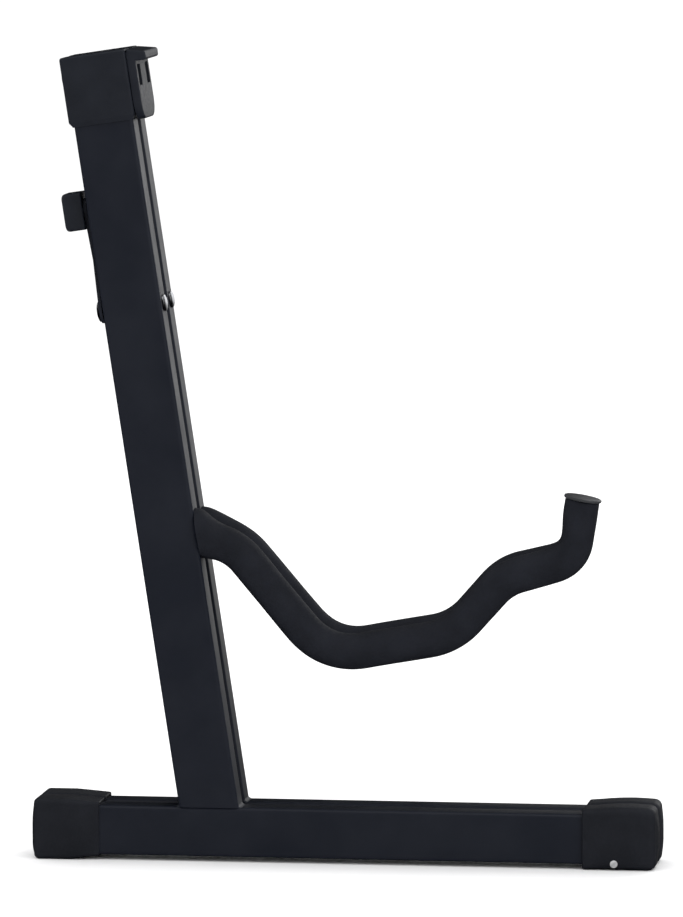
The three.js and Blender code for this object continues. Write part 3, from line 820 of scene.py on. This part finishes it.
def build_half(name, side):
    body = f"{name}_half"

    def put(shape, part, matrix, slot, material, nodes=True, sharp=32):
        node = f"{name}_{part}"
        return place(shape, f"{node}_skin", matrix, body, [node] if nodes else [], material, sharp)

    put(upright(side), "upright", LEANING, "black_paint", PAINT)
    put(foot_bar(side), "foot_bar", METRES, "black_paint", PAINT)
    for end, label in ((-1, "rear"), (1, "front")):
        put(foot_cap(side, end), f"foot_cap_{label}", METRES, "foot_rubber", RUBBER, sharp=40)
        put(weld(side, end), f"weld_{label}", METRES, "black_paint", PAINT, nodes=False, sharp=50)
    # the screw head's pale zinc is partly its own colour and partly a painted glint
    put(foot_screw(side), "foot_screw", METRES, "zinc_steel", GLINT_PAINTED_ZINC, nodes=False)
    put(top_cap(side), "top_cap", LEANING, "moulded_plastic", PLASTIC)
    sleeve = put(arm_sleeve(side), "arm_sleeve", METRES, "foam_sleeve", FOAM, sharp=60)
    put(arm_plug(side), "arm_plug", METRES, "plug_plastic", PLUG_PLASTIC)
    put(stay_rivet(side, name), "stay_rivet", LEANING, "zinc_steel", ZINC)
    tube = frame["nodes"][f"{name}_arm_tube"]
    tube.data.materials.clear()
    tube.data.materials.append(PAINT)
    link, link_node = stay_link(side, name), f"{name}_stay_link"
    place(link, f"{link_node}_skin", LEANING, f"{name}_stay", [link_node], PAINT)


def build_shared():
    def put(shape, node, body, slot, material):
        place(shape, f"{node}_skin", LEANING, body, [node], material)

    head_face, blind_end = TOP_CAP["rear"] - PIN["head_gap"], COVER["front"] - PIN["blind_end"]
    pin = headed(PIN["radius"], blind_end, head_face, 0, PIN["head"], PIN["head_depth"], 0, HINGE_HEIGHT)
    put(pin, "hinge_pin", "hinge_head", "zinc_steel", ZINC)
    faces = (TOP_CAP["rear"] - WASHER["rear"], TOP_CAP["rear"] - WASHER["front"])
    hinge_washer = washer(WASHER["radius"], PIN["bore"], *faces, 0, HINGE_HEIGHT)
    put(hinge_washer, "hinge_washer", "hinge_head", "zinc_steel", ZINC)
    put(hinge_cover(), "hinge_cover", "hinge_head", "moulded_plastic", PLASTIC)
    faces = (LINK_BACK["left"], -UPRIGHT["depth"] / 2 - SEAT)
    spacer = washer(SPACER_RADIUS, LINK["bore"], *faces, HALF_SPACING, RIVET_HEIGHT)
    put(spacer, "right_stay_spacer", "right_half", "zinc_steel", ZINC)
    back, front = LINK_BACK["right"] - RIVET["in_grip"], LINK_BACK["right"] + LINK["thickness"]
    rivet = headed(RIVET["radius"], front, back, 0, 0, 0, 0, KNUCKLE_HEIGHT)
    put(rivet, "stay_knuckle_rivet", "right_stay", "zinc_steel", ZINC)
    put(stay_grip(), "stay_grip", "right_stay", "moulded_plastic", PLASTIC)


# ---------------------------------------------------------------- camera, floor and light
def aim(thing, target, roll=0.0):
    direction = (target - thing.location).normalized()
    twist = Matrix.Rotation(roll, 4, "Z").to_quaternion()
    thing.rotation_mode = "QUATERNION"
    thing.rotation_quaternion = direction.to_track_quat("-Z", "Y") @ twist


def round_the_stand(azimuth, elevation, distance, target):
    """A place at an azimuth and elevation from the target; azimuth 0 looks along +y."""
    a, e = math.radians(azimuth), math.radians(elevation)
    return target + distance * Vector((math.sin(a) * math.cos(e), -math.cos(a) * math.cos(e), math.sin(e)))


def build_camera():
    """A distant, long-lens view, from a little above and a little in front of the left side."""
    distance, azimuth, elevation, roll = 3.5, 8.7, 6.3, -0.28
    target = Vector((0.0006, -0.017, 0.2036))
    camera = bpy.data.objects.new("camera", bpy.data.cameras.new("camera"))
    bpy.context.scene.collection.objects.link(camera)
    camera.data.lens, camera.data.sensor_width = 277.6, 36
    camera.location = round_the_stand(azimuth, elevation, distance, target)
    aim(camera, target, math.radians(roll))
    bpy.context.scene.camera = camera


def softbox(name, azimuth, elevation, distance, size, radiance):
    """A soft rectangular light, set by the radiance of its face and unseen itself."""
    target = Vector((0, 0, (cad_high.z - cad_low.z) / 2))
    lamp = bpy.data.objects.new(name, bpy.data.lights.new(name, "AREA"))
    bpy.context.scene.collection.objects.link(lamp)
    lamp.data.shape, lamp.data.size, lamp.data.size_y = "RECTANGLE", *size
    lamp.data.energy = radiance * math.pi * size[0] * size[1]
    lamp.location = round_the_stand(azimuth, elevation, distance, target)
    lamp.visible_camera = False
    aim(lamp, target)


def build_studio():
    """An even white room that dark, glossy faces do not mirror, with softboxes for them to catch."""
    floor = bmesh.new()
    bmesh.ops.create_grid(floor, x_segments=2, y_segments=2, size=40)
    ground = object_of(floor, "floor")
    pale, tree, surface = shader("pale_floor", (0.93, 0.93, 0.935), 0.9, Specular_IOR_Level=0.1)
    speckle = place_texture(tree, "ShaderNodeTexNoise", 3, Detail=2.0)
    tint = spread(tree, speckle.outputs["Fac"], (0.92, 0.92, 0.925), (0.95, 0.95, 0.955))
    tree.links.new(tint, surface.inputs["Base Color"])
    ground.data.materials.append(pale)
    ground.visible_glossy = False
    world = bpy.data.worlds.new("studio")
    bpy.context.scene.world = world
    world.use_nodes = True
    backdrop = world.node_tree.nodes["Background"]
    backdrop.inputs["Color"].default_value = (1.0, 1.0, 1.0, 1)
    backdrop.inputs["Strength"].default_value = 1.2
    world.cycles_visibility.glossy = False
    softbox("back", 155, 20, 2.4, (1.5, 1.9), 1.75)
    softbox("low_back", 168, -6.2, 1.0, (0.6, 0.19), 0.42)
    softbox("top", 20, 78, 2.0, (1.6, 1.2), 1.2)
    softbox("front", 62, 22, 2.4, (1.2, 1.6), 0.9)
    softbox("rear", 250, 30, 2.6, (1.2, 1.6), 0.8)
    bpy.context.scene.view_settings.view_transform = "Standard"


build_camera()
for half_name, half_side in SIDES.items():
    build_half(half_name, half_side)
build_shared()
build_studio()
